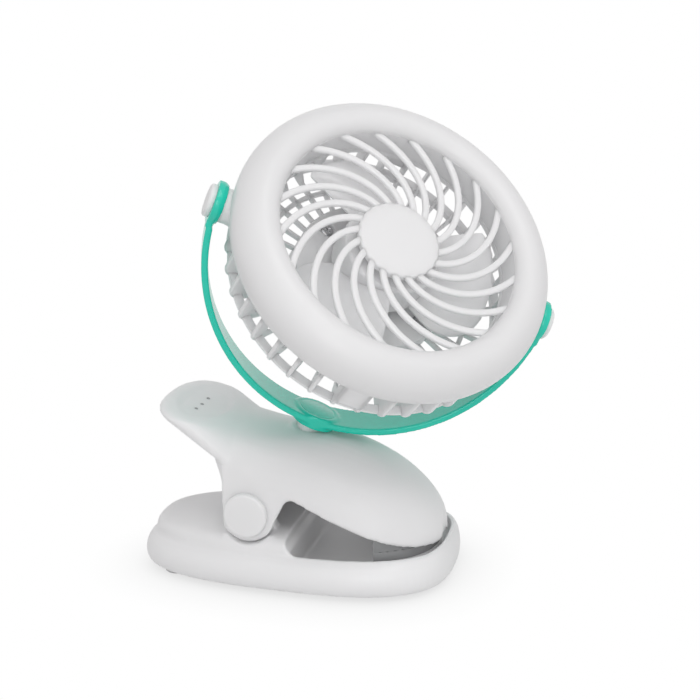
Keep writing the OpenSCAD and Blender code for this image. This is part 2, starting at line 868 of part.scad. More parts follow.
open_r = ring_r - ring_w;               // radius of the front opening
roll_r = roll_share * ring_w;
seam_z = ring_z - roll_r * sin(17);     // plane where the ring meets the housing
roll_c = ring_r - roll_r;               // centre of the outer roll
lip_a = 66;                             // angle at which the outer roll hands over to the lip
lip_r = (roll_c + roll_r * cos(lip_a) - open_r) / (1 + cos(lip_a));   // radius of the inner lip
lip_c = roll_c + (roll_r - lip_r) * cos(lip_a);
lip_cz = ring_z + (roll_r - lip_r) * sin(lip_a);
hoop_t = 2;
hoop_rise = 0.207 * lip_r;              // how far the hoop reaches up behind the lip
hoop_top = lip_cz + hoop_rise;
lip_end = 180 - asin(hoop_rise / lip_r);                    // where the lip ends on the hoop
lip_in_end = 180 - asin(hoop_rise / (lip_r - skin));
drum_r = ring_r - drum_step;

// Ring profile: outer roll, lip, and the same curve one skin further in
module ring_profile() {
    polygon(concat(
        arc(roll_c, ring_z, roll_r, -17, lip_a, 18),
        arc(lip_c, lip_cz, lip_r, lip_a, lip_end, 14),
        arc(lip_c, lip_cz, lip_r - skin, lip_in_end, lip_a, 10),
        arc(roll_c, ring_z, roll_r - skin, lip_a, -20, 14)
    ));
}

module front_ring() {
    color(white)
        on_head()
            rotate_extrude($fn = 128)
                ring_profile();
}

// One swirled rib, rising from the hoop to the hub
rib_steps = 8;
rib_sides = 6;
rib_h = 2.4;
rib_hub_z = hub_z - 2.1;
rib_hoop_z = hoop_top - rib_h / 2 - 0.15;
function rib_centre(u) = let (
    r = lerp(hub_r - 1, open_r + hoop_t / 2, u),
    a = rib_sweep * u
) [r * cos(a), r * sin(a), lerp(rib_hub_z, rib_hoop_z, pow(u, 1.4))];

module rib() {
    path = [for (i = [0 : rib_steps]) rib_centre(i / rib_steps)];
    loft([for (i = [0 : rib_steps]) let (
        d = unit(path[min(i + 1, rib_steps)] - path[max(i - 1, 0)]),
        out = unit([path[i][0], path[i][1], 0]),
        side = cross([0, 0, 1], out) / (d * out)
    ) [for (k = [0 : rib_sides - 1]) let (a = 360 * (k + 0.5) / rib_sides)
        path[i] + side * cos(a) * rib_w / 2 * 1.15 + [0, 0, sin(a) * rib_h / 2]]]);
}

module front_grille() {
    color(white)
        on_head() {
            for (i = [0 : ribs - 1])
                rotate([0, 0, 360 * i / ribs + 3])
                    rib();
            rotate_extrude()
                polygon(concat(
                    [[0, hub_z - 4.4], [hub_r - 0.6, hub_z - 4.4], [hub_r, hub_z - 3.6]],
                    arc(hub_r - 1.2, hub_z - 1.4, 1.2, 0, 80, 5),
                    [[hub_r * 0.6, hub_z - 0.05], [0, hub_z]]
                ));
            rotate_extrude($fn = 128)
                translate([open_r, seam_z])
                    square([hoop_t, hoop_top - seam_z]);
        }
}

// ---- Rear housing ----

// The motor, the cell behind it and the pod round them, from the front to the rear
motor_front = -2.2;
motor_back = motor_front - motor_len;
cell_z = motor_back - 1.2 - cell_r;
pod_r = norm([cell_len / 2, cell_r]) + cell_clear + skin - 0.2;
pod_z = cell_r - cell_z + cell_back + skin;
pod_inside = pod_z - skin;

band_low = 4;                           // rear edge of the plain band behind the ring
corner_r = 8;                           // rounding of the fins at the rear edge
rear_depth = 2.8;                       // depth of the fins across the rear face
half_plain = fin_pitch / 2;
fin_angles = [for (q = [0 : 3], k = [0 : windows]) 90 * q + (q % 2 == 0 ? 90 : 0)
    + (q % 2 == 0 ? -1 : 1) * (half_plain + fin_pitch * k)];

// Fin outline in radius and height: down the side wall, round the edge, across the rear face
module fin_outline() {
    polygon(concat(
        [[drum_r, band_low + 1]],
        arc(drum_r - corner_r, corner_r - rear_z, corner_r, 0, -90, 8),
        [[pod_r - 1, 0.3 - rear_z], [pod_r - 1, rear_depth - rear_z]],
        [[drum_r - fin_depth - 4, rear_depth - rear_z], [drum_r - fin_depth, rear_depth + 4 - rear_z]],
        [[drum_r - fin_depth, flange_low + 0.5], [drum_r - 1, flange_low + 0.5], [drum_r - 1, band_low + 1]]
    ));
}

module wall_panel(a0, span) {
    rotate([0, 0, a0])
        rotate_extrude(angle = span, $fn = 128)
            translate([drum_r - skin - 0.2, corner_r - rear_z - 3])
                square([skin, band_low - corner_r + rear_z + 3.5]);
}

flange_low = seam_z - skin;
plate_front = -10;                      // front face of the pod plate
collar_r = motor_r + 2.3;
collar_top = -5;

module rear_housing() {
    color(white)
        on_head()
            difference() {
                union() {
                    // Flange that closes the ring, and the plain band behind it
                    rotate_extrude($fn = 128)
                        polygon([
                            [open_r - 0.2, flange_low], [drum_r - skin, flange_low],
                            [drum_r - skin, band_low], [drum_r - 0.2, band_low],
                            [drum_r - 0.2, flange_low], [ring_r - 1.3, flange_low + 0.6],
                            [ring_r - 1.3, seam_z], [open_r - 0.2, seam_z]
                        ]);
                    for (a = fin_angles)
                        rotate([0, 0, a])
                            rotate([90, 0, 0])
                                translate([0, 0, -fin_t / 2])
                                    linear_extrude(fin_t)
                                        fin_outline();
                    rotate_extrude($fn = 128)
                        translate([drum_r - 6.6, 0.9 - rear_z])
                            square([3.6, 2.6]);
                    rotate_extrude($fn = 128)
                        translate([48, 0.3 - rear_z])
                            square([2, 2.2]);
                    for (a = [90, 270])
                        wall_panel(a - half_plain, fin_pitch);
                    for (a = [0, 180])
                        wall_panel(a - side_plain / 2, side_plain);
                    pod_cup();
                    both_sides()
                        translate([drum_r - 6, 0, 0])
                            rotate([0, 90, 0])
                                cylinder(r = tilt_boss_r, h = eye_in - face_gap - drum_r + 6);
                }
                both_sides()
                    translate([drum_r - 3, 0, 0])
                        rotate([0, 90, 0])
                            cylinder(r = tilt_pin_r, h = 30);
                translate([0, 0, -30])
                    cylinder(r = motor_r + run_gap, h = 40);
                pod_screw_places() {
                    translate([0, 0, -40])
                        cylinder(r = 1.7, h = 50);
                    translate([0, 0, plate_front - 1.2])
                        cylinder(r = 3.4, h = 10);
                }
            }
}

side_plain = 180 - 2 * (half_plain + fin_pitch * windows);

// Cup in the middle of the rear face: a plate ahead, a skirt, and the collar round the motor
module pod_cup() {
    rotate_extrude($fn = 96)
        polygon([
            [motor_r - 1, plate_front - skin], [pod_r - skin, plate_front - skin],
            [pod_r - skin, -rear_z], [pod_r, -rear_z],
            [pod_r, plate_front - 1], [pod_r - 1, plate_front], [collar_r, plate_front],
            [collar_r, collar_top], [motor_r - 1, collar_top]
        ]);
}

module pod_screw_places() {
    for (a = [screw_angle, screw_angle + 180])
        rotate([0, 0, a])
            translate([screw_ring, 0, 0])
                children();
}

module tilt_pin() {
    translate([drum_r - 3, 0, 0])
        rotate([0, 90, 0])
            cylinder(r = tilt_pin_r, h = eye_in + yoke_t - drum_r + 3.3);
}

module tilt_pin_right() {
    color(steel)
        on_yoke()
            tilt_pin();
}

module tilt_pin_left() {
    color(steel)
        on_yoke()
            mirror([1, 0, 0])
                tilt_pin();
}

// ---- Motor ----

module motor_can() {
    color(steel)
        on_head()
            difference() {
                union() {
                    translate([0, 0, motor_back])
                        cylinder(r = motor_r, h = motor_len);
                    translate([0, 0, motor_front])
                        cylinder(r = 3.2, h = 1.2);
                }
                translate([0, 0, motor_back + 1])
                    cylinder(r = shaft_r + run_gap, h = 30);
            }
}

module motor_end_cap() {
    color("#2E3033")
        on_head()
            translate([0, 0, motor_back - 1])
                cylinder(r = motor_r - 2, h = 1);
}

fan_front = 13.4;
module motor_shaft() {
    color(steel)
        on_head()
            translate([0, 0, motor_back + 1.2])
                cylinder(r = shaft_r, h = fan_front - 2.4 - motor_back - 1.2);
}

// ---- Impeller ----

tip_r = open_r - tip_gap;
fan_hub_r = motor_r + hub_gap;
blade_u = 10;
blade_v = 6;
fan_low = -4;
function blade_point(u, v, side) = let (
    r = lerp(fan_hub_r - 1, tip_r, v) - (tip_r - fan_hub_r) * 0.12 * v * pow(abs(u), 4),
    a = lerp(12, 6, v) + u * lerp(36, blade_span / 2, v),
    z = 4.6 - u * blade_h / 2 + 1.2 * (1 - u * u) + side * blade_t / 2
) [r * cos(a), r * sin(a), z];

module blade() {
    sheet(
        [for (j = [0 : blade_v]) [for (i = [0 : blade_u]) blade_point(2 * i / blade_u - 1, j / blade_v, 1)]],
        [for (j = [0 : blade_v]) [for (i = [0 : blade_u]) blade_point(2 * i / blade_u - 1, j / blade_v, -1)]]
    );
}

module impeller() {
    color("#F2F2F4")
        on_head()
            difference() {
                union() {
                    for (i = [0 : blades - 1])
                        rotate([0, 0, 360 * i / blades])
                            blade();
                    rotate_extrude()
                        polygon(concat(
                            [[0, fan_front - 2], [fan_hub_r - 2.2, fan_front - 2], [fan_hub_r - 2.2, fan_low],
                             [fan_hub_r, fan_low]],
                            arc(fan_hub_r - 1.5, fan_front - 1.5, 1.5, 0, 90, 5),
                            [[0, fan_front]]
                        ));
                    translate([0, 0, 1])
                        cylinder(r = 3.4, h = fan_front - 2);
                }
                translate([0, 0, -10])
                    cylinder(r = shaft_r, h = fan_front - 2.4 + 10);
            }
}

// ---- Power pod ----

board_z = 5.2 - pod_inside;             // front face of the circuit board
board_t = 1.2;
board_half_w = 17;
board_post_x = 13;
board_y = [-29, -13];
button_y = -20.5;
light_x = 13;
light_y = -23;

module pod_cover() {
    color(white)
        on_head()
            difference() {
                union() {
                    rotate_extrude($fn = 96)
                        polygon(concat(
                            [[pod_r, -rear_z], [pod_r - skin + 0.2, -rear_z]],
                            [[pod_r - skin + 0.2, -pod_inside], [0, -pod_inside], [0, -pod_z]],
                            arc(pod_r - 4, 4 - pod_z, 4, -90, 0, 8)
                        ));
                    pod_screw_places()
                        translate([0, 0, -pod_inside - 0.5])
                            cylinder(r = 3.4, h = pod_inside + 0.5 + plate_front - skin);
                    for (x = [-20, 20])
                        translate([x - 1, -8, -pod_inside - 0.5])
                            cube([2, 16, 5]);
                    for (x = [-board_post_x, board_post_x])
                        translate([x, -16.5, -pod_inside - 0.5])
                            cylinder(r = 2, h = pod_inside + 0.5 + board_z - board_t);
                }
                translate([-cell_len / 2 - 0.1, 0, cell_z])
                    rotate([0, 90, 0])
                        cylinder(r = cell_r + run_gap, h = cell_len + 0.2);
                pod_screw_places()
                    translate([0, 0, -30])
                        cylinder(r = 1.3, h = 30);
                translate([0, button_y, -pod_z - 1])
                    cylinder(r = button_r + 0.1, h = 5);
                translate([light_x, light_y, -pod_z - 1])
                    cylinder(r = 1.5, h = 5);
                translate([-usb_w / 2 - 0.1, -pod_r - 2, usb_z - 0.1])
                    cube([usb_w + 0.2, 8, usb_h + 0.2]);
            }
}

pod_screw_len = 11;
module pod_screws() {
    color(steel)
        on_head()
            pod_screw_places() {
                translate([0, 0, plate_front - 1.2])
                    cylinder(r = 2.8, h = 1.1);
                translate([0, 0, plate_front - 1 - pod_screw_len])
                    cylinder(r = 1.3, h = pod_screw_len);
            }
}

module battery_cell() {
    color("#3E7FB8")
        on_head()
            translate([-cell_len / 2, 0, cell_z])
                rotate([0, 90, 0]) {
                    cylinder(r = cell_r, h = cell_len - 1);
                    cylinder(r = 3, h = cell_len);
                }
}

usb_w = 7.6;
usb_h = 2.8;
usb_z = board_z;
module circuit_board() {
    color("#2F7A4B")
        on_head() {
            translate([-board_half_w, board_y[0], board_z - board_t])
                cube([2 * board_half_w, board_y[1] - board_y[0], board_t]);
            // Tact switch behind the button
            translate([-3, button_y - 3, board_z - board_t - 2.2])
                cube([6, 6, 2.2]);
        }
}

module usb_socket() {
    color(steel)
        on_head()
            difference() {
                translate([-usb_w / 2, 0.6 - pod_r, usb_z])
                    cube([usb_w, 8, usb_h]);
                translate([-usb_w / 2 + 0.4, -pod_r, usb_z + 0.4])
                    cube([usb_w - 0.8, 5.4, usb_h - 0.8]);
            }
}

module charge_light() {
    color("#BFE6D8")
        on_head()
            translate([light_x, light_y, -pod_z - 0.2])
                cylinder(r = 1.45, h = pod_z + 0.2 + board_z - board_t);
}

module power_button() {
    flange_z = -pod_inside + 0.1;
    face_z = -pod_z - button_travel - 0.2;
    color("#D9DCDE")
        on_head()
            translate([0, button_y, 0])
                rotate_extrude()
                    polygon([
                        [0, face_z], [button_r - 0.6, face_z], [button_r, face_z + 0.5],
                        [button_r, flange_z], [button_r + 0.9, flange_z],
                        [button_r + 0.9, flange_z + 0.8], [0, flange_z + 0.8]
                    ]);
}

base_shell();
base_plate();
base_feet();
base_screws();
base_clip_pad();
clip_pin();
clip_spring();
upper_jaw();
jaw_clip_pad();
pivot_cap_left();
pivot_cap_right();
swivel_neck();
swivel_washer();
swivel_screw();
yoke();
swivel_plug();
yoke_cap_left();
yoke_cap_right();
front_ring();
front_grille();
rear_housing();
tilt_pin_left();
tilt_pin_right();
motor_can();
motor_end_cap();
pod_cover();
pod_screws();
battery_cell();
circuit_board();
usb_socket();
charge_light();
power_button();
impeller();
motor_shaft();
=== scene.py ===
import math

import bpy
from mathutils import Matrix, Vector


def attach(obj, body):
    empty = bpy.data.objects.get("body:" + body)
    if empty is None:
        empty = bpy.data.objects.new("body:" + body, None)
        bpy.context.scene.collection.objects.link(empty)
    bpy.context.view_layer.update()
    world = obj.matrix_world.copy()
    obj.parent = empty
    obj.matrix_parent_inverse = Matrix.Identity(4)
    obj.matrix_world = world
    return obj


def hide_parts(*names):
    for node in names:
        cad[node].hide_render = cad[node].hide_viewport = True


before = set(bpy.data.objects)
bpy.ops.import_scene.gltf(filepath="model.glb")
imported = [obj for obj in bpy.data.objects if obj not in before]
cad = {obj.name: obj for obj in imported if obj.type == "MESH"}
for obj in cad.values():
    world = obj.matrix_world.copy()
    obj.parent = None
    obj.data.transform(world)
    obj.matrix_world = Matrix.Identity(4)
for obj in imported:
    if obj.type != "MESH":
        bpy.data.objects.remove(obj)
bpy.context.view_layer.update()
bpy.ops.object.select_all(action="DESELECT")


# ---------------------------------------------------------------------------
# Studio: a pale floor, three soft boxes and a pale surround. The floor and the surround look white to
# the camera and in reflections, and give the object only plain, even light. Round the object the floor
# carries a painted contact shadow.
# ---------------------------------------------------------------------------
def white_where_seen(tree, plain, seen, output):
    """Gives the camera and reflections the seen shader, and everything else the plain one."""
    ray = tree.nodes.new("ShaderNodeLightPath")
    either = tree.nodes.new("ShaderNodeMath")
    either.operation = "MAXIMUM"
    mix = tree.nodes.new("ShaderNodeMixShader")
    tree.links.new(ray.outputs["Is Camera Ray"], either.inputs[0])
    tree.links.new(ray.outputs["Is Glossy Ray"], either.inputs[1])
    tree.links.new(either.outputs[0], mix.inputs["Fac"])
    tree.links.new(plain.outputs[0], mix.inputs[1])
    tree.links.new(seen.outputs[0], mix.inputs[2])
    tree.links.new(mix.outputs[0], output.inputs["Surface"])


floor_size = 40.0
contact_reach = 0.03
contact_shade = 0.72
bpy.ops.mesh.primitive_plane_add(size=floor_size, location=(0, 0, 0))
floor = bpy.context.object
floor.name = "floor"
floor_paper = bpy.data.materials.new("floor_paper")
floor_paper.use_nodes = True
paper = floor_paper.node_tree
paper.nodes.clear()
paper_out = paper.nodes.new("ShaderNodeOutputMaterial")
paper_matt = paper.nodes.new("ShaderNodeBsdfDiffuse")
paper_matt.inputs["Color"].default_value = (0.86, 0.86, 0.86, 1)
# Painted contact shadow: to the camera and in reflections, the floor's white is darkened near the object by
# ambient occlusion.
painted_contact_shadow = paper.nodes.new("ShaderNodeAmbientOcclusion")
painted_contact_shadow.samples = 8
painted_contact_shadow.inputs["Distance"].default_value = contact_reach
painted_shadow_range = paper.nodes.new("ShaderNodeMapRange")
painted_shadow_range.inputs["To Min"].default_value = contact_shade
paper_seen = paper.nodes.new("ShaderNodeEmission")
paper_seen.inputs["Strength"].default_value = 1.0
paper.links.new(painted_contact_shadow.outputs["AO"], painted_shadow_range.inputs["Value"])
paper.links.new(painted_shadow_range.outputs["Result"], paper_seen.inputs["Color"])
white_where_seen(paper, paper_matt, paper_seen, paper_out)
floor.data.materials.append(floor_paper)

surround = bpy.data.worlds.new("surround")
bpy.context.scene.world = surround
surround.use_nodes = True
sky = surround.node_tree
sky.nodes.clear()
sky_out = sky.nodes.new("ShaderNodeOutputWorld")
sky_light = sky.nodes.new("ShaderNodeBackground")
sky_light.inputs["Color"].default_value = (1.0, 0.985, 0.99, 1)
sky_light.inputs["Strength"].default_value = 0.50
sky_seen = sky.nodes.new("ShaderNodeBackground")
sky_seen.inputs["Color"].default_value = (1, 1, 1, 1)
sky_seen.inputs["Strength"].default_value = 1.0
white_where_seen(sky, sky_light, sky_seen, sky_out)

subject = Vector((0, -0.0269, 0.1016))
for name, place, size, power in (
    ("key_light", (-0.6, -0.4, 1.25), 0.9, 4.8),
    ("side_light", (-0.1, -1.3, 0.45), 0.7, 0.6),
    ("front_light", (-1.22, -0.31, 0.36), 0.6, 3.0),
):
    lamp = bpy.data.lights.new(name, "AREA")
    lamp.shape = "RECTANGLE"
    lamp.size = size
    lamp.size_y = size
    lamp.energy = power
    holder = bpy.data.objects.new(name, lamp)
    bpy.context.scene.collection.objects.link(holder)
    holder.location = place
    holder.rotation_euler = (subject - Vector(place)).to_track_quat("-Z", "Y").to_euler()

# Camera: a short telephoto, a little above the object and rolled slightly.
film_width = 36.0
focal_pixels = 1489.5
picture_pixels = 700
camera_distance = 0.662
view_back = Vector((-0.9411, -0.2364, 0.2418)).normalized()
view_roll = math.radians(-2.19)
view_right = Vector((0, 0, 1)).cross(view_back).normalized()
view_up = view_back.cross(view_right)
roll_right = view_right * math.cos(view_roll) + view_up * math.sin(view_roll)
roll_up = view_up * math.cos(view_roll) - view_right * math.sin(view_roll)
lens = bpy.data.cameras.new("camera")
lens.sensor_width = film_width
lens.lens = film_width * focal_pixels / picture_pixels
lens.clip_start = 0.01
camera = bpy.data.objects.new("camera", lens)
bpy.context.scene.collection.objects.link(camera)
camera_turn = Matrix((roll_right, roll_up, view_back)).transposed().to_4x4()
camera.matrix_world = Matrix.Translation(subject + view_back * camera_distance) @ camera_turn
bpy.context.scene.camera = camera
bpy.context.scene.view_settings.view_transform = "Standard"

# ---------------------------------------------------------------------------
# Base: the long moulded foot that the fan stands on, satin white plastic, one moulding with a deck,
# an open mouth and two lugs for the clip pin. Its edges are softened as a moulding's are.
# ---------------------------------------------------------------------------
mm = 0.001


def moulded_surface():
    """Node group: the cast of colour, the gloss and the fine skin of a moulded surface."""
    group = bpy.data.node_groups.new("moulded_surface", "ShaderNodeTree")
    for name, kind in (
        ("Colour", "NodeSocketColor"),
        ("Second colour", "NodeSocketColor"),
        ("Cloud size", "NodeSocketFloat"),
        ("Gloss low", "NodeSocketFloat"),
        ("Gloss high", "NodeSocketFloat"),
        ("Grain size", "NodeSocketFloat"),
        ("Grain height", "NodeSocketFloat"),
    ):
        group.interface.new_socket(name=name, in_out="INPUT", socket_type=kind)
    for name, kind in (
        ("Colour", "NodeSocketColor"),
        ("Roughness", "NodeSocketFloat"),
        ("Normal", "NodeSocketVector"),
    ):
        group.interface.new_socket(name=name, in_out="OUTPUT", socket_type=kind)
    new = group.nodes.new
    link = group.links.new
    taken = new("NodeGroupInput")
    given = new("NodeGroupOutput")
    place = new("ShaderNodeTexCoord")
    clouds = new("ShaderNodeTexNoise")
    clouds.inputs["Detail"].default_value = 3.0
    grain = new("ShaderNodeTexNoise")
    grain.inputs["Detail"].default_value = 2.0
    blend = new("ShaderNodeMix")
    blend.data_type = "RGBA"
    shine = new("ShaderNodeMapRange")
    shine.inputs["From Min"].default_value = 0.3
    shine.inputs["From Max"].default_value = 0.7
    bump = new("ShaderNodeBump")
    bump.inputs["Strength"].default_value = 1.0
    link(place.outputs["Object"], clouds.inputs["Vector"])
    link(place.outputs["Object"], grain.inputs["Vector"])
    link(taken.outputs["Cloud size"], clouds.inputs["Scale"])
    link(taken.outputs["Grain size"], grain.inputs["Scale"])
    link(clouds.outputs["Fac"], blend.inputs["Factor"])
    link(taken.outputs["Colour"], blend.inputs["A"])
    link(taken.outputs["Second colour"], blend.inputs["B"])
    link(clouds.outputs["Fac"], shine.inputs["Value"])
    link(taken.outputs["Gloss low"], shine.inputs["To Min"])
    link(taken.outputs["Gloss high"], shine.inputs["To Max"])
    link(grain.outputs["Fac"], bump.inputs["Height"])
    link(taken.outputs["Grain height"], bump.inputs["Distance"])
    link(blend.outputs["Result"], given.inputs["Colour"])
    link(shine.outputs["Result"], given.inputs["Roughness"])
    link(bump.outputs["Normal"], given.inputs["Normal"])
    return group


surface_group = moulded_surface()
glow_depth = 0.006


def moulded(name, colour, second, gloss, cloud=25.0, grain=1500.0, height=0.00002, metal=0.0, coat=0.0,
            glow=0.0):
    """A material with the moulded surface's own values, and its metal, coat and glow on the shader."""
    material = bpy.data.materials.new(name)
    material.use_nodes = True
    tree = material.node_tree
    shader = tree.nodes["Principled BSDF"]
    skin = tree.nodes.new("ShaderNodeGroup")
    skin.node_tree = surface_group
    skin.inputs["Colour"].default_value = (*colour, 1)
    skin.inputs["Second colour"].default_value = (*second, 1)
    skin.inputs["Cloud size"].default_value = cloud
    skin.inputs["Gloss low"].default_value = gloss[0]
    skin.inputs["Gloss high"].default_value = gloss[1]
    skin.inputs["Grain size"].default_value = grain
    skin.inputs["Grain height"].default_value = height
    shader.inputs["Metallic"].default_value = metal
    shader.inputs["Coat Weight"].default_value = coat
    shader.inputs["Subsurface Weight"].default_value = glow
    shader.inputs["Subsurface Scale"].default_value = glow_depth
    shader.inputs["Subsurface Radius"].default_value = (1, 1, 1)
    tree.links.new(skin.outputs["Colour"], shader.inputs["Base Color"])
    tree.links.new(skin.outputs["Roughness"], shader.inputs["Roughness"])
    tree.links.new(skin.outputs["Normal"], shader.inputs["Normal"])
    return material


white_satin = moulded("white_satin", (0.90, 0.90, 0.905), (0.88, 0.88, 0.888), gloss=(0.34, 0.44),
                      glow=0.35)


def chosen(piece):
    """Makes the piece the only one that the operators act on."""
    bpy.ops.object.select_all(action="DESELECT")
    bpy.context.view_layer.objects.active = piece
    piece.select_set(True)


def joined_copy(node, name, flat=0.5):
    """A copy of a node's shape with its loose triangles joined and its flat faces made whole."""
    piece = bpy.data.objects.new(name, cad[node].data.copy())
    bpy.context.scene.collection.objects.link(piece)
    chosen(piece)
    piece.data.materials.clear()
    if piece.data.has_custom_normals:
        bpy.ops.mesh.customdata_custom_splitnormals_clear()
    bpy.ops.object.mode_set(mode="EDIT")
    bpy.ops.mesh.select_all(action="SELECT")
    bpy.ops.mesh.remove_doubles(threshold=0.000005)
    if flat:
        bpy.ops.mesh.dissolve_limited(angle_limit=math.radians(flat))
    bpy.ops.object.mode_set(mode="OBJECT")
    return piece


def applied(piece, kind, **settings):
    """Adds a modifier to the piece with these settings and applies it."""
    chosen(piece)
    bpy.ops.object.modifier_add(type=kind)
    modifier = piece.modifiers[-1]
    for key, value in settings.items():
        setattr(modifier, key, value)
    bpy.ops.object.modifier_apply(modifier=modifier.name)


def melted(piece, voxel, rounds):
    """Rounds a moulding's edges all over: an even skin of small faces, then smoothed."""
    applied(piece, "REMESH", mode="VOXEL", voxel_size=voxel, use_smooth_shade=True)
    applied(piece, "SMOOTH", factor=0.5, iterations=rounds)


def fitted(piece, body, slot, paint, *nodes):
    """Gives a finished piece its material and its body, and hides the CAD nodes it stands for. The slot is
    not used.
    """
    piece.data.materials.clear()
    piece.data.materials.append(paint)
    for node in nodes:
        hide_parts(node)
    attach(piece, body)


# The mouth's rim is lowered a little round the nose, from nose_start in front of the middle.
rim_low = 16.4
nose_start = 57
nose_blend = 8
nose_drop = 0.6
base_body = joined_copy("base_shell", "base_body")
melted(base_body, voxel=0.75 * mm, rounds=8)
for corner in base_body.data.vertices:
    ahead = -corner.co.y / mm - nose_start
    above = corner.co.z / mm - rim_low
    if ahead > 0 and above > 0:
        corner.co.z -= nose_drop * above * min(1, ahead / nose_blend) * mm
fitted(base_body, "base", "white_plastic", white_satin, "base_shell")

# ---------------------------------------------------------------------------
# Bottom plate, feet and screws: a matt grey plate let into the underside, five pale rubber feet
# stuck to it and four steel screws.
# ---------------------------------------------------------------------------
grey_matt = moulded("grey_matt", (0.62, 0.63, 0.64), (0.57, 0.58, 0.59), gloss=(0.5, 0.62))
pale_rubber = moulded("pale_rubber", (0.66, 0.66, 0.67), (0.60, 0.60, 0.61), gloss=(0.55, 0.7), grain=2500)
bright_steel = moulded("bright_steel", (0.62, 0.62, 0.63), (0.5, 0.5, 0.51), gloss=(0.2, 0.34), cloud=200,
                       metal=1.0)


def painted(paint, *nodes):
    """Gives CAD nodes a material."""
    for node in nodes:
        cad[node].data.materials.clear()
        cad[node].data.materials.append(paint)


painted(grey_matt, "base_plate")
painted(pale_rubber, "base_feet")
painted(bright_steel, "base_screws")

# ---------------------------------------------------------------------------
# Clip pads: two strips of soft grey rubber glued to their seats, which meet in the clip's mouth. A
# narrow groove runs along the seam between them.
# ---------------------------------------------------------------------------
soft_grey = moulded("soft_grey", (0.34, 0.345, 0.35), (0.30, 0.305, 0.31), gloss=(0.55, 0.7), grain=2500,
                    height=0.00004)
pad_seam = 18.2
groove_half = 0.2
groove_near = 0.1
groove_far = 0.85


def edged(piece, width):
    """Rounds the sharp edges by a small bevel and smooths the rest."""
    applied(piece, "BEVEL", width=width, segments=2, limit_method="ANGLE", angle_limit=math.radians(40),
            use_clamp_overlap=True, loop_slide=False)
    bpy.ops.object.shade_smooth_by_angle(angle=math.radians(30))


for node, body in (("base_clip_pad", "base"), ("jaw_clip_pad", "jaw")):
    pad = joined_copy(node, node.replace("clip_pad", "grip"), flat=0)
    for corner in pad.data.vertices:
        depth = corner.co.z / mm - pad_seam
        if groove_near < abs(depth) < groove_far:
            corner.co.z = (pad_seam + math.copysign(groove_half, depth)) * mm
    edged(pad, 0.12 * mm)
    fitted(pad, body, "soft_rubber", soft_grey, node)

# ---------------------------------------------------------------------------
# Clip pin and spring: a steel pin through the lugs and a torsion spring of bright wire round it.
# ---------------------------------------------------------------------------
painted(bright_steel, "clip_pin")
spring = joined_copy("clip_spring", "spring_wire", flat=0)
bpy.ops.object.shade_smooth()
applied(spring, "SUBSURF", levels=1, render_levels=1)
fitted(spring, "base", "steel", bright_steel, "clip_spring")

# ---------------------------------------------------------------------------
# Upper jaw: a humped moulding with two ears round the pin and a thumb paddle behind, the same satin
# white as the base. The paddle is dished for the thumb.
# ---------------------------------------------------------------------------
jaw_body = joined_copy("upper_jaw", "jaw_body")
melted(jaw_body, voxel=0.7 * mm, rounds=10)
fitted(jaw_body, "jaw", "white_plastic", white_satin, "upper_jaw")

paddle_place = (Matrix.Translation((0, 42.6 * mm, 76.15 * mm))
                @ Matrix.Rotation(math.radians(16.7), 4, "X"))
dish_half_x = 25.5
dish_half_y = 12.6
dish_ahead = 0.5
dish_extra = 1.1
dish_slope = 0.3
dish_under = -2.8
dish_over = 2.5
to_paddle = paddle_place.inverted()
upward = [corner.index for corner in jaw_body.data.vertices if corner.normal.z > 0.5]
for index in upward:
    corner = jaw_body.data.vertices[index]
    local = to_paddle @ corner.co / mm
    reach = math.hypot(local.x / dish_half_x, (local.y + dish_ahead) / dish_half_y)
    if reach < 1 and dish_under < local.z < dish_over:
        fall = min(1, (1 - reach) / dish_slope)
        sink = dish_extra * fall * fall * (3 - 2 * fall)
        corner.co = paddle_place @ ((local - Vector((0, 0, sink))) * mm)

# ---------------------------------------------------------------------------
# Thumb dots: three small dots of grey plastic let into the paddle's dish, in a row across it.
# ---------------------------------------------------------------------------
dot_grey = moulded("dot_grey", (0.40, 0.40, 0.41), (0.36, 0.36, 0.37), gloss=(0.4, 0.5))
dot_pitch = 8.4
dot_rise = 0.37
dot_outline = [(0, -0.4), (0.85, -0.4), (0.85, 0.2), (0.7, 0.35), (0.35, 0.42), (0, 0.45)]
dish_place = paddle_place @ Matrix.Translation((0, 1.0 * mm, (-1.2 - dish_extra) * mm))


def turned(name, outline, steps, place):
    """A turned form: an outline of radius and height in millimetres, spun once round its axis."""
    bpy.ops.mesh.primitive_circle_add(vertices=len(outline), radius=1)
    piece = bpy.context.object
    piece.name = name
    for corner, (radius, height) in zip(piece.data.vertices, outline):
        corner.co = (radius * mm, 0, height * mm)
    chosen(piece)
    bpy.ops.object.mode_set(mode="EDIT")
    bpy.ops.mesh.select_all(action="SELECT")
    bpy.ops.mesh.spin(steps=steps, angle=math.tau, center=(0, 0, 0), axis=(0, 0, 1))
    bpy.ops.mesh.select_all(action="SELECT")
    bpy.ops.mesh.remove_doubles(threshold=0.000002)
    bpy.ops.mesh.delete_loose(use_verts=True, use_edges=True, use_faces=False)
    bpy.ops.mesh.select_all(action="SELECT")
    bpy.ops.mesh.normals_make_consistent(inside=False)
    bpy.ops.object.mode_set(mode="OBJECT")
    piece.data.transform(place)
    bpy.ops.object.shade_smooth_by_angle(angle=math.radians(35))
    return piece


def joined(name, pieces):
    """Makes several meshes one piece."""
    chosen(pieces[0])
    for piece in pieces[1:]:
        piece.select_set(True)
    bpy.ops.object.join()
    pieces[0].name = name
    return pieces[0]


dots = []
for k in (-1, 0, 1):
    dot_place = dish_place @ Matrix.Translation((k * dot_pitch * mm, 0, abs(k) * dot_rise * mm))
    dots.append(turned("dot", dot_outline, 20, dot_place))
fitted(joined("thumb_dots", dots), "jaw", "grey_plastic", dot_grey)

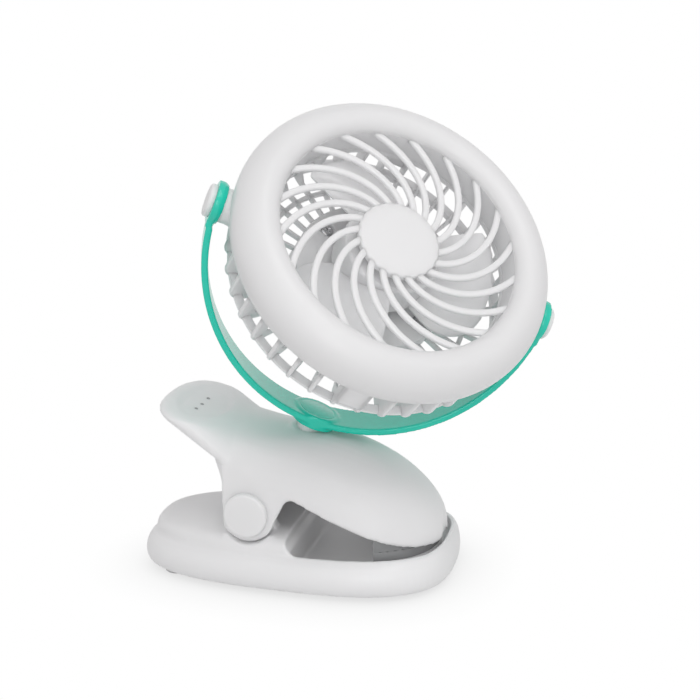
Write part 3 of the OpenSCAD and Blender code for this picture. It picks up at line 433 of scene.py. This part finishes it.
# ---------------------------------------------------------------------------
# Pivot caps: round white buttons pressed over the pin on both ears, slightly domed.
# ---------------------------------------------------------------------------
pivot_y = 15.0
pivot_z = 34.0
cap_radius = 10.0
cap_step = 0.5
cap_foot = 0.6
cap_rim = 1.9
cap_round = 1.4
pin_end = max(corner.co.x for corner in cad["clip_pin"].data.vertices) / mm
cap_seat = pin_end + 0.4


def bow(middle, height, radius, start, stop, count):
    """Points of an arc in radius and height, from one angle to another in degrees."""
    turns = [math.radians(start + (stop - start) * i / count) for i in range(count + 1)]
    return [(middle + radius * math.cos(a), height + radius * math.sin(a)) for a in turns]


cap_outline = ([(0, 0), (cap_radius - cap_step, 0), (cap_radius - cap_step, cap_foot),
                (cap_radius, cap_foot), (cap_radius, cap_rim)]
               + bow(cap_radius - cap_round, cap_rim, cap_round, 10, 84, 7)
               + [(6.5, 3.42), (4.0, 3.52), (2.0, 3.57), (0, 3.59)])
for side, name in ((1, "right"), (-1, "left")):
    place = (Matrix.Translation((side * cap_seat * mm, pivot_y * mm, pivot_z * mm))
             @ Matrix.Rotation(side * math.pi / 2, 4, "Y"))
    cap = turned("pivot_button_" + name, cap_outline, 72, place)
    fitted(cap, "jaw", "white_plastic", white_satin, "pivot_cap_" + name)

# ---------------------------------------------------------------------------
# Swivel: a white neck let into the jaw's back, with a steel washer and screw that hold the yoke.
# ---------------------------------------------------------------------------
neck = joined_copy("swivel_neck", "neck")
edged(neck, 0.4 * mm)
fitted(neck, "jaw", "grey_plastic", white_satin, "swivel_neck")
painted(bright_steel, "swivel_washer", "swivel_screw")

# ---------------------------------------------------------------------------
# Yoke: a band of teal gloss plastic that carries the head between its two round eyes, with a low
# collar round each eye. A thin teal plug closes the boss over the swivel screw.
# ---------------------------------------------------------------------------
teal_gloss = moulded("teal_gloss", (0.002, 0.65, 0.48), (0.002, 0.61, 0.45), gloss=(0.16, 0.24),
                     height=0.000005, coat=0.2)
lean = math.radians(25.4)
turn = math.radians(69.5)
tilt = math.radians(52.8)
axis_meet = Vector((0, -42.7003, 140.9005)) * mm
yoke_place = Matrix.Translation(axis_meet) @ Matrix.Rotation(lean, 4, "X") @ Matrix.Rotation(-turn, 4, "Z")
head_place = yoke_place @ Matrix.Rotation(math.pi / 2 - tilt, 4, "X")

plug_spread = 0.05
plug = joined_copy("swivel_plug", "plug")
swivel_axis = Matrix.Rotation(lean, 3, "X") @ Vector((0, 0, 1))
plug_middle = sum((corner.co for corner in plug.data.vertices), Vector()) / len(plug.data.vertices)
for corner in plug.data.vertices:
    across = (corner.co - plug_middle).cross(swivel_axis).cross(-swivel_axis)
    corner.co += across * plug_spread
edged(plug, 0.1 * mm)
fitted(plug, "yoke", "teal_plastic", teal_gloss, "swivel_plug")

eye_bore = 8.0
collar_start = 73.9
collar_end = 76.5
collar_outline = [(eye_bore, collar_start), (8.8, collar_start), (9.5, collar_end), (eye_bore, collar_end)]
eye_collars = []
for side in (1, -1):
    eye_place = yoke_place @ Matrix.Rotation(side * math.pi / 2, 4, "Y")
    eye_collars.append(turned("eye_collar", collar_outline, 60, eye_place))
yoke_band = joined("yoke_band", [joined_copy("yoke", "band")] + eye_collars)
melted(yoke_band, voxel=0.5 * mm, rounds=10)
fitted(yoke_band, "yoke", "teal_plastic", teal_gloss, "yoke")

# ---------------------------------------------------------------------------
# Yoke caps: small round white buttons pressed into the eyes over the ends of the tilt pins.
# ---------------------------------------------------------------------------
eye_face = 78.5
button_radius = 7.25
button_back = 0.05
button_recess = 3.6
button_rim = 1.5
button_round = 1.2
button_outline = ([(0, 0.6), (button_recess, 0.6), (button_recess, button_back),
                   (button_radius, button_back), (button_radius, button_rim)]
                  + bow(button_radius - button_round, button_rim, button_round, 8, 84, 6)
                  + [(4.5, 2.79), (2.5, 2.86), (0, 2.9)])
for side, name in ((1, "right"), (-1, "left")):
    place = (yoke_place @ Matrix.Translation((side * eye_face * mm, 0, 0))
             @ Matrix.Rotation(side * math.pi / 2, 4, "Y"))
    cap = turned("eye_button_" + name, button_outline, 60, place)
    fitted(cap, "yoke", "white_plastic", white_satin, "yoke_cap_" + name)

# ---------------------------------------------------------------------------
# Front ring: a thick rolled ring of white plastic, one smooth turned form with an inner lip.
# ---------------------------------------------------------------------------
ring_radius = 72.5
opening = 54.0
skin = 2.2
roll_radius = 0.789 * (ring_radius - opening)
roll_height = 12.5
roll_middle = ring_radius - roll_radius
roll_end = 17
hand_over = 66
turn_in = math.cos(math.radians(hand_over))
lip_radius = (roll_middle + roll_radius * turn_in - opening) / (1 + turn_in)
lip_middle = roll_middle + (roll_radius - lip_radius) * turn_in
lip_height = roll_height + (roll_radius - lip_radius) * math.sin(math.radians(hand_over))
hoop_rise = 0.207 * lip_radius
hoop_top = lip_height + hoop_rise
lip_end = 180 - math.degrees(math.asin(hoop_rise / lip_radius))
lip_inner_end = 180 - math.degrees(math.asin(hoop_rise / (lip_radius - skin)))
ring_outline = (bow(roll_middle, roll_height, roll_radius, -roll_end, hand_over, 40)
                + bow(lip_middle, lip_height, lip_radius, hand_over + 4, lip_end, 26)
                + bow(lip_middle, lip_height, lip_radius - skin, lip_inner_end, hand_over, 14)
                + bow(roll_middle, roll_height, roll_radius - skin, hand_over - 5, -roll_end - 3, 16))
ring = turned("guard_ring", ring_outline, 220, head_place)
fitted(ring, "head", "white_plastic", white_satin, "front_ring")

# ---------------------------------------------------------------------------
# Front grille: twenty swirled ribs that rise from a thin hoop inside the ring to a round hub disc,
# one white moulding. Each rib is a rounded bar.
# ---------------------------------------------------------------------------
hub_radius = 18.5
hub_top = 20.6
hub_back = -4.4
rib_count = 20
rib_start = 3
rib_sweep = math.radians(54)
rib_width = 3.0
rib_depth = 2.5
rib_under = 2.0
hoop_wall = 2
seam_height = roll_height - roll_radius * math.sin(math.radians(roll_end))


def formed(name, along, around, shape, smooth):
    """A grid rolled up to a closed bar: shape(u, v) gives each corner's place in millimetres."""
    bpy.ops.mesh.primitive_grid_add(x_subdivisions=along, y_subdivisions=around, size=2)
    piece = bpy.context.object
    piece.name = name
    for corner in piece.data.vertices:
        corner.co = Vector(shape((corner.co.x + 1) / 2, (corner.co.y + 1) / 2)) * mm
    chosen(piece)
    bpy.ops.object.mode_set(mode="EDIT")
    bpy.ops.mesh.select_all(action="SELECT")
    bpy.ops.mesh.remove_doubles(threshold=0.000002)
    bpy.ops.mesh.select_all(action="SELECT")
    bpy.ops.mesh.fill_holes(sides=0)
    bpy.ops.mesh.select_all(action="SELECT")
    bpy.ops.mesh.normals_make_consistent(inside=False)
    bpy.ops.object.mode_set(mode="OBJECT")
    bpy.ops.object.shade_smooth_by_angle(angle=math.radians(smooth))
    return piece


def ring_of(name, piece, angles):
    """Copies of a piece, each turned round the fan's axis by an angle in degrees, joined as one."""
    copies = []
    for angle in angles:
        twin = piece.copy()
        twin.data = piece.data.copy()
        bpy.context.scene.collection.objects.link(twin)
        twin.data.transform(head_place @ Matrix.Rotation(math.radians(angle), 4, "Z"))
        copies.append(twin)
    bpy.data.objects.remove(piece)
    return joined(name, copies)


def raised(height, outline):
    """An outline whose heights are counted from the given height."""
    return [(radius, height + rise) for radius, rise in outline]


def rounded_box(v, power):
    """Width and depth, each from -1 to 1, of a point round a bar; a higher power has tighter corners."""
    across = math.cos(math.tau * v)
    deep = math.sin(math.tau * v)
    return math.copysign(abs(across) ** (2 / power), across), math.copysign(abs(deep) ** (2 / power), deep)


def rib_middle(u):
    """A place on a rib's middle line, from the hub to the hoop."""
    radius = hub_radius - 1 + (opening + hoop_wall - hub_radius) * u
    fall = hoop_top - 1.35 - hub_top + rib_under
    height = hub_top - rib_under + fall * max(0, u) ** 1.4
    return Vector((radius * math.cos(rib_sweep * u), radius * math.sin(rib_sweep * u), height))


def rib_shape(u, v):
    """A corner of a rib, whose width is kept across its own run."""
    here = rib_middle(u)
    run = (rib_middle(u + 0.02) - rib_middle(u - 0.02)).normalized()
    outward = Vector((here.x, here.y, 0)).normalized()
    side = Vector((0, 0, 1)).cross(outward) / run.dot(outward)
    across, deep = rounded_box(v, 2.8)
    return here + side * across * rib_width / 2 + Vector((0, 0, 1)) * deep * rib_depth / 2


rib_angles = [rib_start + 360 * k / rib_count for k in range(rib_count)]
ribs = ring_of("ribs", formed("rib", 24, 14, rib_shape, 60), rib_angles)
hub_outline = (raised(hub_top, [(0, hub_back), (hub_radius - 0.8, hub_back), (hub_radius - 0.3, -4.0)])
               + bow(hub_radius - 1.3, hub_top - 1.55, 1.3, -10, 82, 7)
               + raised(hub_top, [(14.0, -0.14), (9.0, -0.05), (4.0, -0.01), (0, 0)]))
hub = turned("hub", hub_outline, 120, head_place)
hoop_outline = [(opening, seam_height), (opening + hoop_wall, seam_height), (opening + hoop_wall, hoop_top),
                (opening, hoop_top)]
hoop = turned("hoop", hoop_outline, 180, head_place)
grille = joined("grille", [ribs, hub, hoop])
fitted(grille, "head", "white_plastic", white_satin, "front_grille")

# ---------------------------------------------------------------------------
# Rear housing: a white drum of upright vanes that wrap round its rear edge and run across the rear
# face to the pod, with a plain band, four plain panels, two tilt bosses, two hoops and the pod's cup.
# ---------------------------------------------------------------------------
drum_radius = 67.6
drum_rear = 20.2
bend_radius = 8.0
band_edge = 4.0
pod_radius = 36.0
vane = 1.5
vane_inside = 8.0
vane_flare = 0.9
vane_top = band_edge + 1
vane_hold = 1
rear_inside = 2.8
inner_bend = 4
vane_pitch = 9.6
vanes_in_quarter = 9
vane_angles = []
for quarter in range(4):
    for k in range(vanes_in_quarter):
        swing = vane_pitch * (k + 0.5)
        vane_angles.append(90 * quarter + (90 - swing if quarter % 2 == 0 else swing))


def vane_edges(u):
    """Places on a vane's outer and inner edges, from the plain band round to the pod."""
    straight = vane_top - bend_radius + drum_rear
    bend = bend_radius * math.pi / 2
    flat = drum_radius - bend_radius - pod_radius + vane_hold
    run = u * (straight + bend + flat)
    inner_turn = Vector((drum_radius - vane_inside, rear_inside + inner_bend - drum_rear))
    inner_end = inner_turn - Vector((inner_bend, inner_bend))
    if run < straight:
        top = Vector((drum_radius - vane_inside, vane_top))
        return Vector((drum_radius, vane_top - run)), top.lerp(inner_turn, run / straight)
    if run < straight + bend:
        angle = (run - straight) / bend_radius
        outer = Vector((drum_radius - bend_radius * (1 - math.cos(angle)),
                        bend_radius * (1 - math.sin(angle)) - drum_rear))
        return outer, inner_turn.lerp(inner_end, (run - straight) / bend)
    part = (run - straight - bend) / flat
    return (Vector((drum_radius - bend_radius - part * flat, -drum_rear)),
            inner_end.lerp(Vector((pod_radius - vane_hold, inner_end.y)), part))


def vane_shape(u, v):
    """A corner of a vane, which is thicker along its outer edge and thins out at the pod."""
    across, deep = rounded_box(v, 4.0)
    outer, inner = vane_edges(u)
    edge = inner.lerp(outer, (1 + deep) / 2)
    wide = vane + vane_flare * max(0, deep) * min(1, 3 * (1 - u))
    return edge.x, across * wide / 2, edge.y


arch_radius = 4.4
arch_drop = 5.2


def arch_shape(u, v):
    """The skin beside a vane, which spreads into the band so that the windows have round tops."""
    across, deep = rounded_box(v, 5.0)
    drop = arch_drop * u
    spread = arch_radius - math.sqrt(max(0, arch_radius ** 2 - max(0, arch_radius - drop) ** 2))
    return drum_radius - 1.1 + deep * 1.05, across * (vane / 2 + spread), band_edge + 0.3 - drop


vanes = ring_of("vanes", formed("vane", 46, 20, vane_shape, 40), vane_angles)
arches = ring_of("arches", formed("arch", 14, 16, arch_shape, 40), vane_angles)


def panel(span):
    """A plain panel of the side wall between two vanes, with rounded edges."""
    low = bend_radius - drum_rear
    high = band_edge + 0.5

    def shape(u, v):
        across, deep = rounded_box(v, 6.0)
        angle = math.radians(span) * (u - 0.5)
        radius = drum_radius - 1.15 + across * 1.1
        height = (high + low) / 2 + deep * (high - low) / 2
        return radius * math.cos(angle), radius * math.sin(angle), height

    return formed("panel", 12, 24, shape, 40)


panel_overlap = 1
broad_gap = 2 * (90 - vane_pitch * (vanes_in_quarter - 0.5))
narrow = ring_of("narrow", panel(vane_pitch + panel_overlap), (90, 270))
broad = ring_of("broad", panel(broad_gap + panel_overlap), (0, 180))

inner = drum_radius - skin
flange_back = seam_height - skin
flange_outline = [
    (opening - 0.2, flange_back), (inner, flange_back), (inner, band_edge + 0.3), (inner + 0.3, band_edge),
    (drum_radius - 0.5, band_edge), (drum_radius - 0.1, band_edge + 0.4),
    (drum_radius - 0.1, flange_back - 0.6), (drum_radius + 0.6, flange_back),
    (ring_radius - 1.9, flange_back + 0.5), (ring_radius - 1.3, flange_back + 1.1),
    (ring_radius - 1.3, seam_height), (opening - 0.2, seam_height)]
flange = turned("flange", flange_outline, 200, head_place)
outer_hoop_outline = raised(-drum_rear, [(61.0, 1.2), (61.3, 0.9), (62.6, 0.9), (64.9, 2.8), (65.2, 3.6),
                                         (64.9, 4.2), (61.3, 4.2), (61.0, 3.9)])
outer_hoop = turned("outer_hoop", outer_hoop_outline, 160, head_place)
inner_hoop_outline = raised(-drum_rear, [(48.0, 0.6), (48.3, 0.3), (49.7, 0.3), (50.0, 0.6), (50.0, 2.2),
                                         (49.7, 2.5), (48.3, 2.5), (48.0, 2.2)])
inner_hoop = turned("inner_hoop", inner_hoop_outline, 140, head_place)

cup_front = -10.0
collar_bore = 11.2
collar_radius = 14.5
collar_front = -5
cup_outline = [(collar_bore, cup_front - skin), (pod_radius - skin, cup_front - skin),
               (pod_radius - skin, -drum_rear), (pod_radius, -drum_rear), (pod_radius, cup_front - 1.4),
               (pod_radius - 0.4, cup_front - 0.4), (pod_radius - 1.4, cup_front),
               (collar_radius, cup_front), (collar_radius, collar_front - 0.3),
               (collar_radius - 0.3, collar_front), (collar_bore, collar_front)]
cup = turned("cup", cup_outline, 120, head_place)
screw_ring = 28.5
head_seat = -1.2
well_radius = 3.4
well_bore = 1.7
well_outline = raised(cup_front, [(0, -4), (well_bore, -4), (well_bore, head_seat), (well_radius, head_seat),
                                  (well_radius, 1), (0, 1)])
screw_places = []
for angle in (148.8, 328.8):
    round_axis = head_place @ Matrix.Rotation(math.radians(angle), 4, "Z")
    screw_places.append(round_axis @ Matrix.Translation((screw_ring * mm, 0, 0)))
for place in screw_places:
    well = turned("well", well_outline, 40, place)
    applied(cup, "BOOLEAN", operation="DIFFERENCE", solver="EXACT", object=well)
    bpy.data.objects.remove(well)

boss_radius = 9.4
boss_neck = 7.6
boss_foot = 60.6
boss_end = 75.2
boss_outline = [(0, boss_foot), (boss_radius, boss_foot), (boss_radius, drum_radius - 0.2),
                (8.2, drum_radius + 0.5), (7.7, drum_radius + 1.6), (boss_neck, drum_radius + 3),
                (boss_neck, boss_end - 0.4), (boss_neck - 0.4, boss_end), (0, boss_end)]
boss = turned("boss", boss_outline, 64, Matrix.Rotation(math.pi / 2, 4, "Y"))
bosses = ring_of("bosses", boss, (0, 180))
housing = joined("housing", [flange, vanes, arches, narrow, broad, outer_hoop, inner_hoop, cup, bosses])
fitted(housing, "head", "white_plastic", white_satin, "rear_housing")

# ---------------------------------------------------------------------------
# Tilt pins and motor: steel pins in the bosses, which turn in the yoke's eyes, and a small steel
# motor with a black end cap, held in the cup's collar.
# ---------------------------------------------------------------------------
black_matt = moulded("black_matt", (0.02, 0.02, 0.022), (0.03, 0.03, 0.032), gloss=(0.5, 0.6))
painted(bright_steel, "tilt_pin_left", "tilt_pin_right", "motor_can", "motor_shaft")
painted(black_matt, "motor_end_cap")

# ---------------------------------------------------------------------------
# Pod: the round cover behind the motor, white plastic, with a push button, a clear light and the
# charging socket; inside it the cell and the circuit board.
# ---------------------------------------------------------------------------
pod = joined_copy("pod_cover", "pod_back")
melted(pod, voxel=0.6 * mm, rounds=3)
fitted(pod, "head", "white_plastic", white_satin, "pod_cover")

cell_blue = moulded("cell_blue", (0.05, 0.2, 0.42), (0.04, 0.17, 0.37), gloss=(0.25, 0.35))
board_green = moulded("board_green", (0.02, 0.17, 0.06), (0.015, 0.13, 0.05), gloss=(0.3, 0.4))
clear_green = moulded("clear_green", (0.55, 0.78, 0.7), (0.5, 0.74, 0.66), gloss=(0.1, 0.15))
painted(cell_blue, "battery_cell")
painted(board_green, "circuit_board")
painted(clear_green, "charge_light")
painted(grey_matt, "power_button")
painted(bright_steel, "usb_socket")

# ---------------------------------------------------------------------------
# Pod screws: two steel screws in the wells of the cup, with low heads and a cross recess each. They
# hold the pod's cover to the housing.
# ---------------------------------------------------------------------------
shank_radius = 1.3
shank_length = 12
screw_head = 2.8
recess_length = 3.4
recess_width = 0.75
recess_height = 1.7
screw_outline = raised(cup_front, [(0, -shank_length), (shank_radius, -shank_length),
                                   (shank_radius, head_seat), (screw_head, head_seat), (screw_head, -0.6),
                                   (2.3, -0.25), (1.4, -0.12), (0, -0.1)])
recess_size = Matrix.Diagonal((recess_length * mm, recess_width * mm, recess_height * mm, 1))
screws = []
for place in screw_places:
    screw = turned("screw", screw_outline, 40, place)
    head_top = place @ Matrix.Translation((0, 0, cup_front * mm))
    for quarter in (0, 1):
        bpy.ops.mesh.primitive_cube_add(size=1)
        recess = bpy.context.object
        recess.data.transform(head_top @ Matrix.Rotation(quarter * math.pi / 2, 4, "Z") @ recess_size)
        applied(screw, "BOOLEAN", operation="DIFFERENCE", solver="EXACT", object=recess)
        bpy.data.objects.remove(recess)
    screws.append(screw)
fitted(joined("cross_screws", screws), "head", "steel", bright_steel, "pod_screws")

# ---------------------------------------------------------------------------
# Impeller: three broad white blades with rounded corners on a hub with a rounded front edge, one
# moulding pressed on the motor's shaft. One edge of each blade stands forward, the other lies back.
# ---------------------------------------------------------------------------
fan_hub = 22.0
fan_top = 13.4
fan_bottom = -4.0
fan_wall = 2.2
fan_roof = 2
fan_round = 1.8
blade_tip = 50.5
blade_middle = 4.4
blade_rise = 15.6
blade_crown = 1.2
blade_thick = 1.6
blade_corner = 0.12
tip_start = 0.97


def blade_shape(u, v):
    """A corner of a blade: u runs from the hub to the tip, and v round the blade's section."""
    across, deep = rounded_box(v, 7.0)
    near_tip = max(0, (u - tip_start) / (1 - tip_start))
    thick = blade_thick * math.sqrt(max(0.04, 1 - near_tip ** 2))
    reach = blade_tip - fan_hub
    radius = fan_hub - 1 + (reach + 1) * u - reach * blade_corner * u * abs(across) ** 4
    back_edge = 18 * u ** 3 - 42
    front_edge = 37 - 4 * u
    angle = math.radians(back_edge + (front_edge - back_edge) * (1 + across) / 2)
    height = blade_middle + across * blade_rise / 2 + blade_crown * (1 - across * across) + deep * thick / 2
    return radius * math.cos(angle), radius * math.sin(angle), height


blades = ring_of("blades", formed("blade", 30, 40, blade_shape, 50), (0, 120, 240))
fan_outline = ([(0, fan_top - fan_roof), (fan_hub - fan_wall, fan_top - fan_roof),
                (fan_hub - fan_wall, fan_bottom), (fan_hub, fan_bottom)]
               + bow(fan_hub - fan_round, fan_top - fan_round, fan_round, 0, 90, 8) + [(0, fan_top)])
fan_boss = turned("fan_boss", fan_outline, 96, head_place)
fan = joined("fan", [blades, fan_boss])
fitted(fan, "impeller", "white_plastic", white_satin, "impeller")
